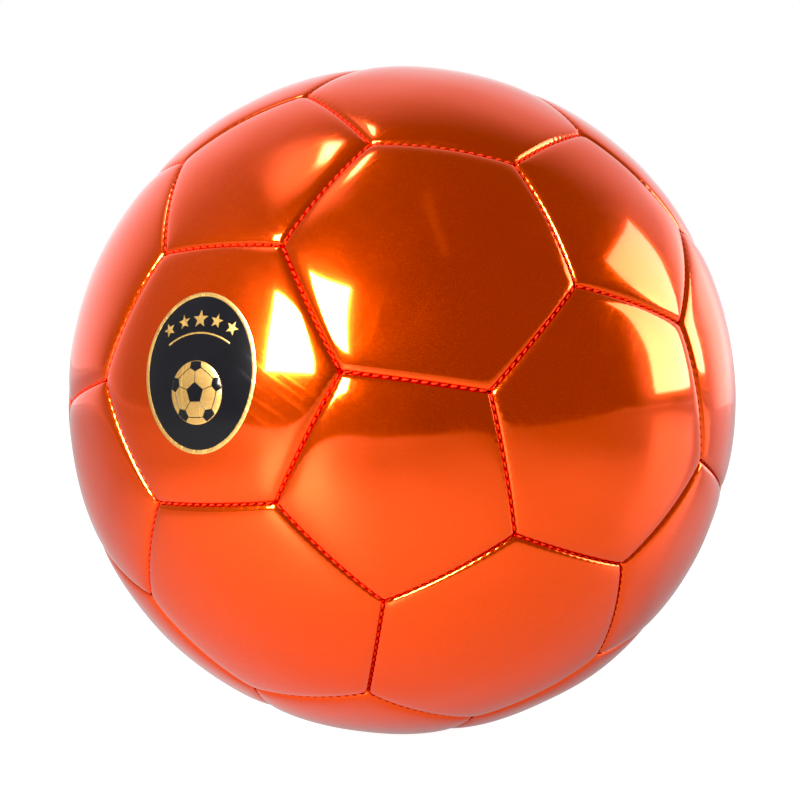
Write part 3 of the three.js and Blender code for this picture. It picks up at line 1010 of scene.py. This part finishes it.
class BALL_OT_studio(bpy.types.Operator):
    """Set up the floor, the softboxes, the room that the film reflects and the camera"""

    bl_idname = "ball.studio"
    bl_label = "Studio"

    # Azimuth, elevation, size in metres, brightness, share of the half width over which it
    # fades, and share that it loses from bottom to top. Azimuth 0 is the camera's side, 90 is +X.
    SOFTBOXES = (
        ("Key softbox", -33, 25, (0.6, 0.82), 60, 0.1, 0.0),
        ("Top softbox", -108, 75, (0.55, 0.2), 18, 0.7, 0.0),
        ("Top glow", -95, 67, (1.2, 0.8), 1.2, 0.9, 0.0),
        ("Side softbox", 103.5, 18, (0.8, 0.94), 9.5, 0.06, 0.5),
        ("Side glow", 92, 10, (0.7, 0.9), 0.7, 0.8, 0.0),
        ("Rear softbox", 138, 5, (1.1, 1.2), 1.2, 0.8, 0.0),
        ("Ceiling tube", 20, 61, (0.07, 0.75), 0.16, 0.2, 0.0),
    )
    SOFTBOX_DISTANCE = 1.6

    # Painted light in the floor's glow: a painted shadow under the ball and painted pools of
    # light.
    # Each has a centre, the distances between which it changes, and its strength at the first and
    # at the second. The first, the painted shadow, dims the even glow, and the rest add.
    PAINTED_POOLS_AND_SHADOW = (
        # painted shadow under the ball: dims the glow near where the ball sits
        ((0.0, 0.0), 0.03, 0.3, 0.25, 1.0),
        # painted pools of light to the front left and front right, and painted brightening far off
        ((-0.13, -0.16), 0.0, 0.34, 0.55, 0.0),
        ((0.22, -0.18), 0.0, 0.45, 0.3, 0.0),
        ((0.0, 0.0), 0.6, 3.0, 0.0, 0.25),
    )
    LIFT_IN_VIEW = 0.6  # what the floor gains where the camera sees it, and the film does not

    def execute(self, context):
        s = context.scene.ball_studio
        lowest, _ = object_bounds()
        self.floor(context, lowest.z)
        for name, *settings in self.SOFTBOXES:
            self.softbox(name, *settings)
        self.room(s)
        self.camera(context, s)
        view = context.scene.view_settings
        view.view_transform = "Standard"
        view.look = "None"
        view.use_curve_mapping = True
        view.curve_mapping.black_level = (s.black_level,) * 3
        return {"FINISHED"}

    def floor(self, context, height):
        """A pale table top whose front edge the film reflects as a horizon."""
        sides, front, back = 4.0, -0.9, 4.0  # in metres from below the ball's centre
        corners = [(-sides, front), (sides, front), (sides, back), (-sides, back)]
        mesh = bpy.data.meshes.new("studio_floor")
        mesh.from_pydata([(x, y, height) for x, y in corners], [], [(0, 1, 2, 3)])
        floor = new_object("studio_floor", mesh)
        floor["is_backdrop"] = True
        fixed = {"Roughness": 0.4, "Specular IOR Level": 0.15}
        material, tree, shader, where = begin_material("Studio floor", fixed)
        tinted(tree, shader, where, context.scene.ball_colours.floor, 6.0, 0.02)
        glow = context.scene.ball_studio.floor_glow
        # the painted shadow under the ball and the painted pools of light go into the floor's glow
        for centre, near, wide, at_near, at_wide in self.PAINTED_POOLS_AND_SHADOW:
            off = vector_math(tree, "DISTANCE", where, (*centre, height), output="Value")
            painted_pool = ramp(tree, off, near, wide, at_near, at_wide)
            glow = calc(tree, "MULTIPLY" if at_wide == 1.0 else "ADD", painted_pool, glow)
        in_view = node(tree, "ShaderNodeLightPath").outputs["Is Camera Ray"]
        glow = calc(tree, "MULTIPLY_ADD", in_view, self.LIFT_IN_VIEW, glow)
        shader.inputs["Emission Color"].default_value = (1, 1, 1, 1)
        feed(shader, "Emission Strength", glow)
        mesh.materials.append(material)

    def softbox(self, name, azimuth, elevation, size, brightness, edge, fall):
        """A light that faces the ball."""
        light = bpy.data.lights.new(name, "AREA")
        light.shape = "RECTANGLE"
        light.size, light.size_y = size
        light.energy = brightness * math.pi * size[0] * size[1]
        light.color = (1.0, 0.985, 0.96)
        light.use_nodes = True
        tree = light.node_tree
        across = node(tree, "ShaderNodeNewGeometry").outputs["Parametric"]
        places = node(tree, "ShaderNodeSeparateXYZ", {0: across}).outputs[:2]
        fade = calc(tree, "MULTIPLY_ADD", places[1], -fall, 1.0)
        for place in places:
            off_middle = calc(tree, "ABSOLUTE", calc(tree, "MULTIPLY_ADD", place, 2.0, -1.0))
            fade = calc(tree, "MULTIPLY", fade, ramp(tree, off_middle, 1.0 - edge, 1.0, 1.0, 0.0))
        tree.links.new(fade, tree.nodes["Emission"].inputs["Strength"])
        made = new_object(name, light)
        self.aim(made, math.radians(azimuth), math.radians(elevation), self.SOFTBOX_DISTANCE)
        made.visible_camera = False

    def aim(self, made, azimuth, elevation, distance):
        """Puts a lamp or camera at a distance from the ball's centre, turned towards it."""
        level, up = math.cos(elevation), math.sin(elevation)
        away = Vector((math.sin(azimuth) * level, -math.cos(azimuth) * level, up))
        made.location = away * distance
        made.rotation_euler = away.to_track_quat("Z", "Y").to_euler()

    def room(self, s):
        """White to the camera, even and soft to cloth and floor, and a studio room to the film."""
        world = bpy.data.worlds.new("Studio room")
        bpy.context.scene.world = world
        world.use_nodes = True
        tree = world.node_tree
        toward = node(tree, "ShaderNodeTexCoord").outputs["Generated"]
        x, y, _ = node(tree, "ShaderNodeSeparateXYZ", {0: toward}).outputs
        wall = ramp(tree, y, 0.22, 0.85, 0.0, s.backdrop)
        left = ramp(tree, x, -0.7, 0.3, s.room_left, 0.0)
        seen = calc(tree, "ADD", calc(tree, "ADD", wall, left), s.room)
        rays = node(tree, "ShaderNodeLightPath").outputs
        lit = mix(tree, rays["Is Glossy Ray"], s.fill, seen)
        strength = mix(tree, rays["Is Camera Ray"], lit, 1.0)
        background = tree.nodes["Background"]
        background.inputs["Color"].default_value = (1.0, 1.0, 1.0, 1.0)
        tree.links.new(strength, background.inputs["Strength"])

    def camera(self, context, s):
        """A long lens in front of the ball, a little above it."""
        made = new_object("Camera", bpy.data.cameras.new("Camera"))
        self.aim(made, 0.0, s.camera_elevation, s.camera_distance)
        made.data.lens = s.lens
        made.data.shift_x = s.shift
        made.data.clip_start, made.data.clip_end = 0.01, 50
        context.scene.camera = made


class BALL_PT_sidebar(bpy.types.Panel):
    """Lists the pieces of the ball and their sizes"""

    bl_label = "Soccer Ball"
    bl_space_type = "VIEW_3D"
    bl_region_type = "UI"
    bl_category = "Soccer Ball"

    def draw(self, context):
        scene = context.scene
        for operator in OPERATORS:
            self.layout.operator(operator.bl_idname)
        for group in (getattr(scene, name) for name in GROUPS):
            box = self.layout.box()
            box.label(text=group.bl_rna.description)
            for name in group.__annotations__:
                box.prop(group, name)


OPERATORS = (BALL_OT_panels, BALL_OT_stitching, BALL_OT_badge, BALL_OT_valve, BALL_OT_studio)
GROUPS = {
    "ball_cover": BALL_PG_cover,
    "ball_badge": BALL_PG_badge,
    "ball_valve": BALL_PG_valve,
    "ball_colours": BALL_PG_colours,
    "ball_studio": BALL_PG_studio,
}


def register():
    for name, group in GROUPS.items():
        bpy.utils.register_class(group)
        setattr(bpy.types.Scene, name, bpy.props.PointerProperty(type=group))
    for made in (*OPERATORS, BALL_PT_sidebar):
        bpy.utils.register_class(made)


def unregister():
    for made in (BALL_PT_sidebar, *reversed(OPERATORS)):
        bpy.utils.unregister_class(made)
    for name, group in reversed(GROUPS.items()):
        delattr(bpy.types.Scene, name)
        bpy.utils.unregister_class(group)


def main():
    register()
    bpy.ops.ball.panels()
    bpy.ops.ball.stitching()
    bpy.ops.ball.badge()
    bpy.ops.ball.valve()
    bpy.ops.ball.studio()


if __name__ == "__main__":
    main()
